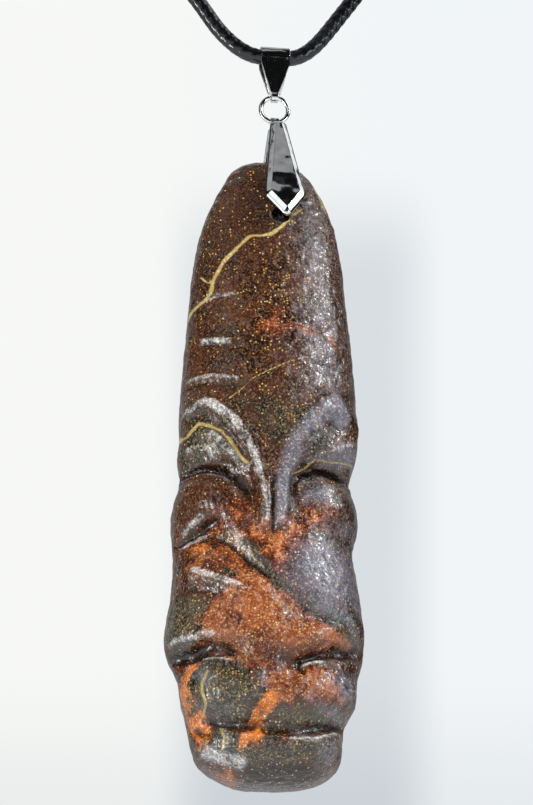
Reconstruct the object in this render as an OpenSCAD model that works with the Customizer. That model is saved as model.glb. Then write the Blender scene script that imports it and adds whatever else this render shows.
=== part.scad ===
// Carved opal pendant on a pinch bail, hung from a necklace of braided cord.
// Millimetres, +Z up. The carved side faces -Y. The origin is the underside of the
// clasp, where the necklace rests on the nape of the neck.

/* [Cord loop] */
// Diameter of the braided cord
cord_d = 2; // [1.8:0.1:2.1]
// Height of the loop, from the cord in the bail to the clasp's axis
loop_h = 136; // [130:1:140]
// Length of the clasp with its two end caps
clasp_l = 28; // [24:1:30]
// Diameter of the clasp's barrel
clasp_d = 4.6; // [4:0.2:5]

/* [Cord bail] */
// Width of the strap that is folded over the cord
bail_w = 3.6; // [3:0.1:4]
// Thickness of the strap
bail_t = 0.28; // [0.24:0.02:0.36]
// Clear space between the cord and the strap
bail_gap = 0.12; // [0.1:0.02:0.2]
// Distance from the cord's centre down to the eye
bail_h = 5.4; // [5.2:0.1:5.8]

/* [Jump ring] */
// Outer diameter of the ring
ring_d = 4; // [3.9:0.1:4.4]
// Diameter of its wire
wire_d = 0.56; // [0.5:0.02:0.58]

/* [Pinch bail] */
// Widest width of a leaf
leaf_w = 4.9; // [4.4:0.1:5.2]
// Thickness of a leaf's rim
leaf_t = 0.35; // [0.3:0.05:0.45]
// Height of the faceted crown above the rim
leaf_crown = 0.65; // [0.4:0.05:0.8]
// Lean of the leaves towards +X, in degrees
leaf_lean = 1.5; // [0:0.5:2.5]
// Diameter of the two pegs
peg_d = 0.8; // [0.7:0.05:0.85]

/* [Stone] */
// Height of the carved stone
stone_h = 78.2; // [76:0.2:80]
// Width across its widest place
stone_w = 23.3; // [22.5:0.1:24]
// Depth from its carved front to its back
stone_d = 18.8; // [18.2:0.1:19]
// Diameter of the drilled hole
hole_d = 2.1; // [2.1:0.1:2.4]
// Height of the carved relief, as a share of its full height
relief_share = 1; // [0:0.1:1.1]

/* [Hidden] */

// Round things are true curves, this is only their drawn fineness
round_fn = 48;

// Heights of the pivots, from the origin down
cord_z = clasp_d / 2 - loop_h;
ring_r = (ring_d - wire_d) / 2;
eye_z = cord_z - bail_h;
ring_z = eye_z - ring_r;
drop_z = ring_z - ring_r;

// Cord route, x and height above the bail, for a loop 136 high
ROUTE_H = 136;
ROUTE = [
  [-clasp_l / 2, 136], [-25, 136], [-37, 134.8], [-48.5, 130.5], [-58, 122],
  [-63.5, 110], [-65, 97], [-64, 84], [-60, 71], [-53, 58.5],
  [-35.5, 37], [-27.5, 28], [-20.5, 20], [-14.5, 13.5], [-10, 7.7],
  [-7.2, 3.7], [-5.2, 1.65], [-3.5, 0.55], [-1.9, 0.1], [0, 0],
  [1.9, 0.12], [3.4, 0.65], [4.9, 1.85], [6.5, 3.8], [8.8, 7.1],
  [13, 13], [19, 20], [26.5, 28], [35, 37],
  [53, 58.5], [60, 71], [64, 84], [65, 97], [63.5, 110],
  [58, 122], [48.5, 130.5], [37, 134.8], [25, 136], [clasp_l / 2, 136]
];
cord_sides = 8;
cord_pitch = 5.6;

// Clasp: caps at both ends of a fatter barrel
cap_l = 7;
cap_d = 3.2;

// Cord bail: the strap's inner and outer radius over the cord
bail_in = cord_d / 2 + bail_gap;
bail_out = bail_in + bail_t;
side_share = 0.985;
bail_tip_half = 0.4;
bail_tip_up = 0.5;
bail_slot_half = 0.22;
bail_slot_up = 1.5;
bail_tip_w = 1.3;
bail_straight = 1.1;
eye_w = 0.8;
eye_bore = 0.4;
eye_r = 0.68;

// Pinch bail: the arch over the ring's wire and the leaves below it
arch_bore = 0.38;
arch_w = 1;
arch_t = 0.2;
arch_l = 1.5;
leaf_x = 0.3;
leaf_gap = 0.2;
leaf_tip_past = 0.5;
leaf_wide_at = 0.78;
neck_w = 1.9;
neck_down = 0.8;
crown_in = 0.6;
peg_x = 0.3;
peg_rise = 0.5;
peg_l = 2;

// The stone's place under the ring, and its hole
stone_x = -1;
stone_gap = 5.65;
stone_z = drop_z - stone_gap;
hole_x = 1.1;
hole_down = 9;

// Sections of the stone, for its full size: height, width and depth
FULL = [78.2, 23.3, 18.8];
DOWN = 0;
LEFT = 1;
RIGHT = 2;
FRONT = 3;
BACK = 4;
SECTIONS = [
  // down, left, right, front, back
  [0, 0, 0, 0, 0],
  [0.45, 2.4, 2.6, 1.3, 1.3],
  [1.5, 4.3, 4.5, 2.3, 2.3],
  [3.3, 5.4, 6, 3.2, 3.2],
  [5.3, 6.4, 7.1, 4, 4],
  [9.5, 8, 8.4, 5.3, 5.3],
  [13.5, 8.9, 9.1, 6.3, 6.3],
  [18, 9.4, 9.5, 7.1, 7.4],
  [25.5, 10, 10.2, 8.1, 8.4],
  [33.4, 10.5, 10.7, 8.7, 9],
  [36.7, 10.5, 10.7, 8.7, 9.1],
  [39.4, 10.7, 10.5, 8.6, 9.1],
  [42.2, 10.3, 9.7, 8.3, 9.1],
  [45.2, 11.2, 10.6, 8.4, 9.1],
  [47.5, 11.4, 10.8, 8.6, 9.1],
  [50.5, 11.1, 10, 8.8, 9.1],
  [53.5, 11.1, 10.4, 9.1, 9.1],
  [56.5, 11.4, 10.9, 9.4, 9],
  [61.5, 12, 11.3, 9.6, 8.9],
  [63.7, 11.6, 11.3, 9.3, 8.8],
  [66, 10.4, 10.5, 9, 8.7],
  [69, 10, 10.3, 9, 8.5],
  [71.4, 9.3, 8.9, 8.5, 8.1],
  [74, 8.7, 8.7, 8.1, 7.5],
  [76, 7.8, 8.2, 6.7, 6.2],
  [77.5, 5.2, 6, 4.2, 3.9],
  [78.1, 2.6, 3, 2, 1.9],
  [78.2, 0, 0, 0, 0]
];
section_power = 0.9;
row_pitch = 1.2;
front_columns = 36;
back_columns = 16;
fade_from = 0.1;
fade_to = 0.45;

// Carved strokes on the front: places across and down, then width and height
PATH = 0;
WIDTH = 1;
HEIGHT = 2;
STROKES = [
  // upper brows, which run down together into the bridge
  [[[-10.1, 33.9], [-8.1, 33.6], [-4.8, 37.2], [-2.5, 41.1], [-1.4, 44], [-0.6, 49]], 1.4, 0.7],
  [[[9.8, 36], [6.8, 33.4], [4, 37], [2.2, 40.9], [0.8, 44.5], [-0.4, 49]], 1.4, 0.7],
  // upper eyes, each a slit under its lid over a full lower lid
  [[[-10.2, 41.4], [-8.6, 41.7], [-5.9, 42.7], [-3.7, 44.1], [-3.2, 45.8]], 1.2, -1.2],
  [[[2.2, 45.2], [2.9, 43.3], [5, 42], [8.8, 42]], 1.2, -1.4],
  [[[4, 41], [6.8, 39.4], [9.6, 38.2]], 1.2, 0.4],
  [[[-8, 45.6], [-6, 46]], 2, 0.6],
  [[[5, 46], [7.4, 46.6]], 2.1, 0.7],
  // bags and folds below them
  [[[-10.6, 50.5], [-8.8, 50.2], [-7.2, 49.1]], 1.1, -0.8],
  [[[-8.1, 49.9], [-5.9, 51.4], [-3.2, 54], [-0.9, 55.8], [1.4, 58.7], [3.7, 60.3], [9, 61.2]], 1.2, -0.7],
  [[[-9.6, 54.8], [-6.5, 56.3], [-3.2, 58.3]], 1.2, 0.5],
  [[[3, 54], [6.5, 57]], 2.8, 0.45],
  [[[-5.5, 60.5], [-2.5, 60.5]], 3.6, 0.4],
  // lower brows, each a ledge over its slit
  [[[-11.8, 62], [-9.1, 62.4], [-5.4, 62.7]], 1.2, 0.7],
  [[[1.6, 64], [5.5, 62.2], [10, 60.6]], 1.2, 0.7],
  [[[-11, 64.4], [-8.6, 64.5], [-5, 64.8]], 1.1, -1.4],
  [[[2, 65.8], [5.5, 64.6], [10, 63]], 1.1, -1.4],
  // nose, lips and chin
  [[[-1.7, 63.5], [-1.7, 69.4]], 2.2, 0.7],
  [[[-7, 68.8], [-4.6, 69]], 2.2, 0.9],
  [[[2.6, 69.2], [5.2, 68.6]], 2.2, 0.8],
  [[[-8, 71.8], [-5.4, 72.5], [-2.6, 72.4]], 1, -1.2],
  [[[-2, 72.6], [2.7, 73.2], [8.4, 71.4]], 1, -1.3],
  [[[-1.6, 74.7], [2.7, 74.7], [7.4, 73.4]], 1.1, 0.4]
];

// Smooth curve through rows of numbers, between row i and the next
function row(rows, i) = rows[max(0, min(len(rows) - 1, i))];
function curve(rows, i, t) =
  let (a = row(rows, i - 1), b = row(rows, i), c = row(rows, i + 1), d = row(rows, i + 2))
  0.5 * (2 * b + (c - a) * t + (2 * a - 5 * b + 4 * c - d) * t * t + (3 * b - a - 3 * c + d) * t * t * t);

// Rows along that curve, about one pitch apart
function along(rows, pitch) = [
  for (i = [0 : len(rows) - 2])
    let (step = row(rows, i + 1) - row(rows, i), n = max(1, round(norm([step[0], step[1]]) / pitch)))
      for (k = [0 : n - 1]) curve(rows, i, k / n)
];

// Faces of a tube of m rings of n points, whose first and last ring are closed by fans
// to the two points after them
function tube_faces(m, n) = concat(
  [for (r = [0 : m - 2]) for (c = [0 : n - 1]) let (e = (c + 1) % n) [r * n + c, r * n + e, r * n + n + e]],
  [for (r = [0 : m - 2]) for (c = [0 : n - 1]) let (e = (c + 1) % n) [r * n + c, r * n + n + e, r * n + n + c]],
  [for (c = [0 : n - 1]) [m * n, (c + 1) % n, c]],
  [for (c = [0 : n - 1]) [m * n + 1, (m - 1) * n + c, (m - 1) * n + (c + 1) % n]]
);

// Cord: a ring of points round every place on the route
cord_line = concat(along(ROUTE, cord_pitch), [ROUTE[len(ROUTE) - 1]]);
function cord_place(i) = [cord_line[i][0], cord_line[i][1] * loop_h / ROUTE_H];
function cord_way(i) =
  let (last = len(cord_line) - 1, d = cord_place(min(last, i + 1)) - cord_place(max(0, i - 1)))
  (i == 0 || i == last) ? [-1, 0] : d / norm(d);

module cord() {
  rings = [
    for (i = [0 : len(cord_line) - 1])
      let (p = cord_place(i), w = cord_way(i))
        for (s = [0 : cord_sides - 1])
          let (a = 360 * s / cord_sides, out = cord_d / 2 * cos(a))
            [p[0] - w[1] * out, cord_d / 2 * sin(a), p[1] + w[0] * out]
  ];
  first = cord_place(0);
  last = cord_place(len(cord_line) - 1);
  ends = [[first[0], 0, first[1]], [last[0], 0, last[1]]];
  color([0.05, 0.05, 0.06])
    translate([0, 0, cord_z])
      polyhedron(concat(rings, ends), tube_faces(len(cord_line), cord_sides), convexity = 6);
}

// Clasp: one plain piece that joins the two ends of the cord
module clasp() {
  color([0.45, 0.45, 0.47])
    translate([0, 0, clasp_d / 2])
      rotate([0, 90, 0]) {
        cylinder(d = cap_d, h = clasp_l, center = true, $fn = round_fn);
        cylinder(d = clasp_d, h = clasp_l - 2 * cap_l, center = true, $fn = round_fn);
      }
}

// Side outline of the bail: a circle over the cord, and sides that close to a blunt tip
module teardrop(r, tip_half, tip_down) {
  circle(r = r, $fn = round_fn);
  polygon([
    [r * side_share, 0], [tip_half, -tip_down], [-tip_half, -tip_down], [-r * side_share, 0]
  ]);
}

// Lays a side outline, drawn as y and z, along X for the given width
module across(width) {
  rotate([90, 0, 90]) linear_extrude(width, center = true) children();
}

// Cord bail: a strap folded over the cord, pinched to an eye that holds the ring
module cord_bail() {
  color([0.3, 0.3, 0.32])
    translate([0, 0, cord_z])
      difference() {
        union() {
          intersection() {
            across(bail_w) teardrop(bail_out, bail_tip_half, bail_h - bail_tip_up);
            rotate([90, 0, 0])
              linear_extrude(4 * bail_out, center = true)
                polygon([
                  [-bail_w / 2, bail_out], [-bail_w / 2, -bail_straight],
                  [-bail_tip_w / 2, -bail_h], [bail_tip_w / 2, -bail_h],
                  [bail_w / 2, -bail_straight], [bail_w / 2, bail_out]
                ]);
          }
          translate([0, 0, -bail_h])
            rotate([0, 90, 0]) cylinder(r = eye_r, h = eye_w, center = true, $fn = round_fn);
        }
        across(bail_w + 1) teardrop(bail_in, bail_slot_half, bail_h - bail_slot_up);
        translate([0, 0, -bail_h])
          rotate([0, 90, 0]) cylinder(r = eye_bore, h = eye_w + 1, center = true, $fn = round_fn);
      }
}

// Jump ring: a plain round wire
module jump_ring() {
  color([0.75, 0.75, 0.77])
    translate([0, 0, ring_z])
      rotate([90, 0, 0])
        rotate_extrude($fn = round_fn) translate([ring_r, 0]) circle(d = wire_d, $fn = 24);
}

// The stone's half thickness where the hole goes through, at its full size
function stone_front(down) =
  let (i = max([for (k = [0 : len(SECTIONS) - 2]) SECTIONS[k][DOWN] <= down ? k : 0]))
  let (a = SECTIONS[i], b = SECTIONS[i + 1])
  (a[FRONT] + (b[FRONT] - a[FRONT]) * (down - a[DOWN]) / (b[DOWN] - a[DOWN])) * stone_d / FULL[2];

// Leaves open from the arch until they lie a gap outside the stone at its hole
hole_z = stone_z - hole_down * stone_h / FULL[0];
leaf_reach = drop_z - hole_z;
leaf_open = atan2(stone_front(hole_down) + leaf_gap - arch_bore, leaf_reach);
leaf_l = leaf_reach / cos(leaf_open) + leaf_tip_past;

// Kite outline of a leaf below its neck, drawn inwards from its edge by the given distance
module kite(inset) {
  polygon([
    [-neck_w / 2 + inset / 2, -neck_down - inset / 2], [neck_w / 2 - inset / 2, -neck_down - inset / 2],
    [leaf_w / 2 - inset, -leaf_l * leaf_wide_at], [0, -leaf_l + inset * 1.6],
    [-leaf_w / 2 + inset, -leaf_l * leaf_wide_at]
  ]);
}

// One leaf: a thin plate from the arch down, and a crown cut in facets
module leaf() {
  rotate([-leaf_open, 0, 0])
    rotate([0, -leaf_lean, 0])
      translate([0, -arch_bore, 0])
        rotate([90, 0, 0]) {
          translate([-arch_w / 2, -arch_l]) linear_extrude(arch_t) square([arch_w, arch_l]);
          translate([leaf_x, 0, 0]) hull() {
            linear_extrude(leaf_t) kite(0);
            linear_extrude(leaf_t + leaf_crown) kite(crown_in);
          }
        }
}

// Pinch bail: an arch on the ring, two leaves over the stone and two pegs in its hole
module pinch_bail() {
  color([0.32, 0.32, 0.34]) {
    translate([0, 0, drop_z])
      difference() {
        union() {
          rotate([0, 90, 0])
            cylinder(r = arch_bore + arch_t, h = arch_w, center = true, $fn = round_fn);
          leaf();
          rotate([0, 0, 180]) mirror([1, 0, 0]) leaf();
        }
        rotate([0, 90, 0]) cylinder(r = arch_bore, h = arch_w + 3, center = true, $fn = round_fn);
      }
    for (side = [-1, 1])
      translate([peg_x, side * (stone_front(hole_down) + leaf_gap + leaf_t / 2), hole_z + peg_rise])
        rotate([side * 90, 0, 0]) cylinder(d = peg_d, h = peg_l, $fn = 24);
  }
}

// Height of the carving at a place on the front, given across and down
function near(p, a, b) =
  let (u = b - a, t = max(0, min(1, (p - a) * u / (u * u))))
  norm(p - a - u * t);
function stroke_height(p, s) =
  let (d = min([for (i = [0 : len(s[PATH]) - 2]) near(p, s[PATH][i], s[PATH][i + 1])]) / s[WIDTH])
  s[HEIGHT] * exp(-d * d);
function carving(p) = [for (s = STROKES) stroke_height(p, s)] * [for (s = STROKES) 1];

// A point of a section at an angle, where the front is at 270 degrees
function bent(x) = sign(x) * pow(abs(x), section_power);
function stone_point(s, angle) =
  let (
    x = (cos(angle) < 0 ? s[LEFT] : s[RIGHT]) * bent(cos(angle)),
    y = (sin(angle) < 0 ? s[FRONT] : s[BACK]) * bent(sin(angle)),
    fade = max(0, min(1, (-sin(angle) - fade_from) / (fade_to - fade_from))),
    high = fade > 0 ? fade * relief_share * carving([x, s[DOWN]]) : 0,
    out = 1 + high / norm([x, y])
  )
  [x * out, y * out, -s[DOWN]];

// Stone: a long bullet with two carved masks, one above the other
module stone() {
  rows = along(SECTIONS, row_pitch);
  angles = concat(
    [for (c = [0 : back_columns - 1]) 180 * c / back_columns],
    [for (c = [0 : front_columns - 1]) 180 + 180 * c / front_columns]
  );
  rings = [for (i = [1 : len(rows) - 1]) for (a = angles) stone_point(rows[i], a)];
  ends = [[0, 0, 0], [0, 0, -FULL[0]]];
  color([0.3, 0.16, 0.12])
    difference() {
      translate([stone_x, 0, stone_z])
        scale([stone_w / FULL[1], stone_d / FULL[2], stone_h / FULL[0]])
          polyhedron(concat(rings, ends), tube_faces(len(rows) - 1, len(angles)), convexity = 6);
      translate([stone_x + hole_x, 0, hole_z])
        rotate([90, 0, 0]) cylinder(d = hole_d, h = 2 * stone_d, center = true, $fn = round_fn);
    }
}

cord();
clasp();
cord_bail();
jump_ring();
pinch_bail();
stone();
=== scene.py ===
import math
import bpy
import numpy as np
from mathutils import Matrix, Vector


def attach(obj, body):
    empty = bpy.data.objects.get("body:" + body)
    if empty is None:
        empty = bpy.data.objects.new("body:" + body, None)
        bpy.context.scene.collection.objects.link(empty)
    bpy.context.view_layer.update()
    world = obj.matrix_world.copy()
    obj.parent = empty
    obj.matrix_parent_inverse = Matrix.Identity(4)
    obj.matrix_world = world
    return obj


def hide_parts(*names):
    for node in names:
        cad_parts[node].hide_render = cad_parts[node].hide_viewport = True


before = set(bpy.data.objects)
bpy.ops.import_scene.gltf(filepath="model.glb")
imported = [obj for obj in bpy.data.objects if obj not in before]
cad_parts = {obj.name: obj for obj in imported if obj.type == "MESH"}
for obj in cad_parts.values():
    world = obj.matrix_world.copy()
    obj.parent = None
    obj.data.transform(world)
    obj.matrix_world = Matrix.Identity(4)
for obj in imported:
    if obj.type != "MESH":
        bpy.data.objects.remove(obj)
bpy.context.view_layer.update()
bpy.context.scene.view_settings.view_transform = "Standard"
# a millimetre, in metres
mm = 0.001
print("CAD frame loaded")


# small helpers for working on one piece at a time
def selectNothing():
    if bpy.context.mode != "OBJECT":
        bpy.ops.object.mode_set(mode="OBJECT")
    bpy.ops.object.select_all(action="DESELECT")


def workOn(piece):
    selectNothing()
    piece.select_set(True)
    bpy.context.view_layer.objects.active = piece


def applyModifier(piece, kind, **values):
    workOn(piece)
    modifier = piece.modifiers.new(kind.lower(), kind)
    for name, value in values.items():
        setattr(modifier, name, value)
    bpy.ops.object.modifier_apply(modifier=modifier.name)


def roundEdges(piece, width, segments=3, over=30):
    # bevels each edge whose faces turn by more than so many degrees
    applyModifier(piece, "BEVEL", width=width * mm, segments=segments, angle_limit=math.radians(over))


def smoothShading(piece, degrees):
    workOn(piece)
    bpy.ops.object.shade_smooth_by_angle(angle=math.radians(degrees))


def newestPiece(name):
    # the piece just added, with its place, turn and size moved into its points
    piece = bpy.context.object
    piece.name = name
    bpy.ops.object.transform_apply(location=True, rotation=True, scale=True)
    return piece


def pickFaces(piece, test):
    # selects only the faces whose centre and normal pass the test, in edit mode
    workOn(piece)
    bpy.ops.object.mode_set(mode="EDIT")
    bpy.ops.mesh.select_mode(type="FACE")
    bpy.ops.mesh.select_all(action="DESELECT")
    bpy.ops.object.mode_set(mode="OBJECT")
    for face in piece.data.polygons:
        face.select = bool(test(face.center, face.normal))
    bpy.ops.object.mode_set(mode="EDIT")


def turnNormalsOut(piece):
    workOn(piece)
    bpy.ops.object.mode_set(mode="EDIT")
    bpy.ops.mesh.select_all(action="SELECT")
    bpy.ops.mesh.normals_make_consistent(inside=False)
    bpy.ops.object.mode_set(mode="OBJECT")


def copyOfNode(node, name):
    # a copy of a CAD node whose faces share their points
    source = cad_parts[node]
    piece = bpy.data.objects.new(name, source.data.copy())
    bpy.context.scene.collection.objects.link(piece)
    piece.data.materials.clear()
    workOn(piece)
    bpy.ops.object.mode_set(mode="EDIT")
    bpy.ops.mesh.select_all(action="SELECT")
    bpy.ops.mesh.remove_doubles(threshold=0.002 * mm)
    turnNormalsOut(piece)
    return piece


def meshPiece(name, points, faces):
    mesh = bpy.data.meshes.new(name)
    mesh.from_pydata([tuple(p) for p in points], [], faces)
    mesh.update()
    piece = bpy.data.objects.new(name, mesh)
    bpy.context.scene.collection.objects.link(piece)
    return piece


def ringFaces(rings, sides):
    # the faces between rings of points, from each ring to the next
    faces = []
    for r in range(rings - 1):
        for s in range(sides):
            e = (s + 1) % sides
            faces.append((r * sides + s, r * sides + e, (r + 1) * sides + e, (r + 1) * sides + s))
    return faces


def finishPiece(piece, body, material, node):
    piece.data.materials.clear()
    piece.data.materials.append(material)
    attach(piece, body)
    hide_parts(node)


# shader maths: a Number wraps a socket, so that an expression adds Math nodes
class Number:
    def __init__(self, sheet, socket):
        self.sheet = sheet
        self.socket = socket

    def maths(self, operation, first, second=0.0):
        made = self.sheet.node("ShaderNodeMath", {"operation": operation}, {0: first, 1: second})
        return Number(self.sheet, made.outputs[0])

    def __add__(self, other):
        return self.maths("ADD", self, other)

    __radd__ = __add__

    def __sub__(self, other):
        return self.maths("SUBTRACT", self, other)

    def __rsub__(self, other):
        return self.maths("SUBTRACT", other, self)

    def __mul__(self, other):
        return self.maths("MULTIPLY", self, other)

    __rmul__ = __mul__

    def __lt__(self, other):
        return self.maths("LESS_THAN", self, other)

    def greater(self, other):
        return self.maths("MAXIMUM", self, other)

    def sine(self):
        return self.maths("SINE", self)

    def rise(self, low, high):
        # 0 below low, 1 above high, smooth between
        made = self.sheet.node(
            "ShaderNodeMapRange",
            {"interpolation_type": "SMOOTHSTEP"},
            {"Value": self, "From Min": low, "From Max": high},
        )
        return Number(self.sheet, made.outputs[0])


class ShaderSheet:
    def __init__(self, owner):
        self.owner = owner
        owner.use_nodes = True
        self.tree = owner.node_tree
        self.tree.nodes.clear()

    def node(self, kind, settings, sockets):
        made = self.tree.nodes.new(kind)
        for name, value in settings.items():
            if name == "stops":
                ramp = made.color_ramp
                while len(ramp.elements) < len(value):
                    ramp.elements.new(0.5)
                for element, (place, colour) in zip(ramp.elements, value):
                    element.position = place
                    element.color = (*colour, 1)
            else:
                setattr(made, name, value)
        for name, value in sockets.items():
            socket = made.inputs[name]
            if isinstance(value, Number):
                self.tree.links.new(value.socket, socket)
            elif isinstance(value, bpy.types.NodeSocket):
                self.tree.links.new(value, socket)
            elif isinstance(value, tuple) and len(value) == 3 and socket.type == "RGBA":
                socket.default_value = (*value, 1)
            else:
                socket.default_value = value
        return made

    def place(self, size, move=(0, 0, 0), stretch=(1, 1, 1)):
        # object coordinates in millimetres, over size
        coords = self.node("ShaderNodeTexCoord", {}, {}).outputs["Object"]
        scale = tuple(1000 / size * s for s in stretch)
        sockets = {"Vector": coords, "Location": move, "Scale": scale}
        return self.node("ShaderNodeMapping", {}, sockets).outputs[0]

    def noise(self, vector, detail, rough):
        sockets = {"Vector": vector, "Scale": 1.0, "Detail": detail, "Roughness": rough}
        return Number(self, self.node("ShaderNodeTexNoise", {}, sockets).outputs[0])

    def attribute(self, name):
        made = self.node("ShaderNodeAttribute", {"attribute_name": name}, {})
        return Number(self, made.outputs["Fac"])

    def mix(self, share, first, second):
        sockets = {0: share, 6: first, 7: second}
        return self.node("ShaderNodeMix", {"data_type": "RGBA"}, sockets).outputs[2]

    def bump(self, height, strength, distance, normal=None):
        # distance in millimetres
        sockets = {"Height": height, "Strength": strength, "Distance": distance * mm}
        if normal is not None:
            sockets["Normal"] = normal
        return self.node("ShaderNodeBump", {}, sockets).outputs[0]

    def surface(self, sockets):
        shader = self.node("ShaderNodeBsdfPrincipled", {}, sockets)
        self.node("ShaderNodeOutputMaterial", {}, {"Surface": shader.outputs[0]})
        return self.owner


def newMaterial(name):
    return ShaderSheet(bpy.data.materials.new(name))


# camera at the photograph's angle: degrees and metres, and millimetres for the lens and its sensor
photoView = {
    "azimuth": -8,
    "elevation": -20,
    "distance": 0.35,
    "target": (-0.00101, 0, -0.17967),
    "near": 0.01,
    "far": 20,
    "lens": 130.4,
    "sensor": 36,
}


def setCamera():
    around, up = math.radians(photoView["azimuth"]), math.radians(photoView["elevation"])
    back = Vector((math.sin(around) * math.cos(up), -math.cos(around) * math.cos(up), math.sin(up)))
    bpy.ops.object.camera_add()
    camera = bpy.context.object
    camera.name = "photoCamera"
    camera.location = Vector(photoView["target"]) + back * photoView["distance"]
    camera.rotation_mode = "QUATERNION"
    camera.rotation_quaternion = (-back).to_track_quat("-Z", "Y")
    camera.data.lens = photoView["lens"]
    camera.data.sensor_width = photoView["sensor"]
    camera.data.clip_start = photoView["near"]
    camera.data.clip_end = photoView["far"]
    bpy.context.scene.camera = camera


setCamera()
print("camera placed")

# braided cord, in millimetres: crown and flank are the powers of a strand's bulge across and along it
cordFacts = {
    "diameter": 2.0,
    "centre": -133.7,
    "braidPitch": 1.27,
    "strandsEachWay": 4,
    "relief": 0.1,
    "crown": 0.8,
    "flank": 0.35,
    "threadWaves": 38.0,
    "routeSteps": 40,
    "ringStep": 0.2,
    "sides": 32,
    "pathEvery": 6,
}
# the cord's route, across and above the bail, as in the part's source
cordRoute = [
    (-14, 136), (-25, 136), (-37, 134.8), (-48.5, 130.5), (-58, 122),
    (-63.5, 110), (-65, 97), (-64, 84), (-60, 71), (-53, 58.5),
    (-35.5, 37), (-27.5, 28), (-20.5, 20), (-14.5, 13.5), (-10, 7.7),
    (-7.2, 3.7), (-5.2, 1.65), (-3.5, 0.55), (-1.9, 0.1), (0, 0),
    (1.9, 0.12), (3.4, 0.65), (4.9, 1.85), (6.5, 3.8), (8.8, 7.1),
    (13, 13), (19, 20), (26.5, 28), (35, 37),
    (53, 58.5), (60, 71), (64, 84), (65, 97), (63.5, 110),
    (58, 122), (48.5, 130.5), (37, 134.8), (25, 136), (14, 136),
]


def smoothRoute(points, steps):
    rows = np.array(points, float)
    last = len(rows) - 1
    made = []
    for i in range(last):
        a, b = rows[max(0, i - 1)], rows[i]
        c, d = rows[i + 1], rows[min(last, i + 2)]
        for t in np.arange(steps) / steps:
            cubic = (3 * b - a - 3 * c + d) * t**3
            made.append(0.5 * (2 * b + (c - a) * t + (2 * a - 5 * b + 4 * c - d) * t**2 + cubic))
    made.append(rows[-1])
    return np.array(made)


def evenly(line, step):
    # the same line with a point every step along it
    run = np.concatenate([[0], np.cumsum(np.linalg.norm(np.diff(line, axis=0), axis=1))])
    stops = np.linspace(0, run[-1], max(2, round(run[-1] / step)) + 1)
    return np.stack([np.interp(stops, run, line[:, k]) for k in range(line.shape[1])], 1), stops


def braidHeight(around, along):
    # 0 in the creases, 1 on the crowns: strands of both hands pass over and under by turns
    left, right = around + along, around - along
    over = (np.floor(left) + np.floor(right)) % 2 == 0
    a = np.cos(np.pi * (left % 1 - 0.5))
    b = np.cos(np.pi * (right % 1 - 0.5))
    crown, flank = cordFacts["crown"], cordFacts["flank"]
    return np.where(over, a**crown * b**flank, b**crown * a**flank)


def makeCord():
    line, run = evenly(smoothRoute(cordRoute, cordFacts["routeSteps"]), cordFacts["ringStep"])
    way = np.gradient(line, axis=0)
    way /= np.linalg.norm(way, axis=1)[:, None]
    way[0] = way[-1] = (-1, 0)
    sides, radius = cordFacts["sides"], cordFacts["diameter"] / 2
    strands, pitch = cordFacts["strandsEachWay"], cordFacts["braidPitch"]
    angles = 2 * np.pi * np.arange(sides) / sides
    turns, places = np.meshgrid(angles / (2 * np.pi) * strands, run / pitch)
    reach = radius - cordFacts["relief"] * (1 - braidHeight(turns, places))
    out, front = reach * np.cos(angles), reach * np.sin(angles)
    x = line[:, :1] - way[:, 1:] * out
    z = line[:, 1:] + way[:, :1] * out + cordFacts["centre"]
    points = np.stack([x, front, z], 2).reshape(-1, 3) * mm
    rings = len(line)
    faces = ringFaces(rings, sides)
    faces.append(tuple(range(sides))[::-1])
    faces.append(tuple((rings - 1) * sides + s for s in range(sides)))
    cord = meshPiece("braidedCord", points, faces)
    sheet = cord.data.uv_layers.new(name="braid")
    uv = np.zeros((len(cord.data.loops), 2))
    for i in range((rings - 1) * sides):
        r, s = divmod(i, sides)
        corners = ((s, r), (s + 1, r), (s + 1, r + 1), (s, r + 1))
        for k, (column, ring) in enumerate(corners):
            uv[i * 4 + k] = (column / sides * strands, run[ring] / pitch)
    sheet.data.foreach_set("uv", uv.ravel())
    turnNormalsOut(cord)
    bpy.ops.object.shade_smooth()
    stops = [*line[::cordFacts["pathEvery"]], line[-1]]
    path = [(across * mm, 0, (up + cordFacts["centre"]) * mm) for across, up in stops]
    return cord, path, run[-1] * mm


def waxedCord():
    sheet = newMaterial("waxedCord")
    grain = sheet.noise(sheet.place(0.12), 4, 0.6)
    dust = sheet.noise(sheet.place(3.0), 2, 0.5)
    # fine threads run along each strand of the braid
    braid = sheet.node("ShaderNodeUVMap", {"uv_map": "braid"}, {}).outputs[0]
    parts = sheet.node("ShaderNodeSeparateXYZ", {}, {"Vector": braid})
    around, along = Number(sheet, parts.outputs[0]), Number(sheet, parts.outputs[1])
    threads = ((around + along) * cordFacts["threadWaves"]).sine()
    colour = sheet.mix(dust.rise(0.45, 0.75), (0.003, 0.003, 0.004), (0.009, 0.009, 0.012))
    return sheet.surface({
        "Base Color": colour,
        "Roughness": 0.12 + 0.12 * dust,
        "Normal": sheet.bump(grain + 0.2 * threads, 0.15, 0.03),
    })


cord, cordPath, cordLength = makeCord()
finishPiece(cord, "necklace", waxedCord(), "cord")
print("cord braided,", round(cordLength * 1000, 1), "mm")


# hidden clasp: a plain barrel with a cap over each end of the cord
claspFacts = {
    "centre": 2.3,
    "radius": 2.3,
    "sides": 64,
    "barrel": 14,
    "cap": 7,
    "capRadius": 1.6,
    "edge": 0.25,
    "smooth": 30,
}


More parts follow.
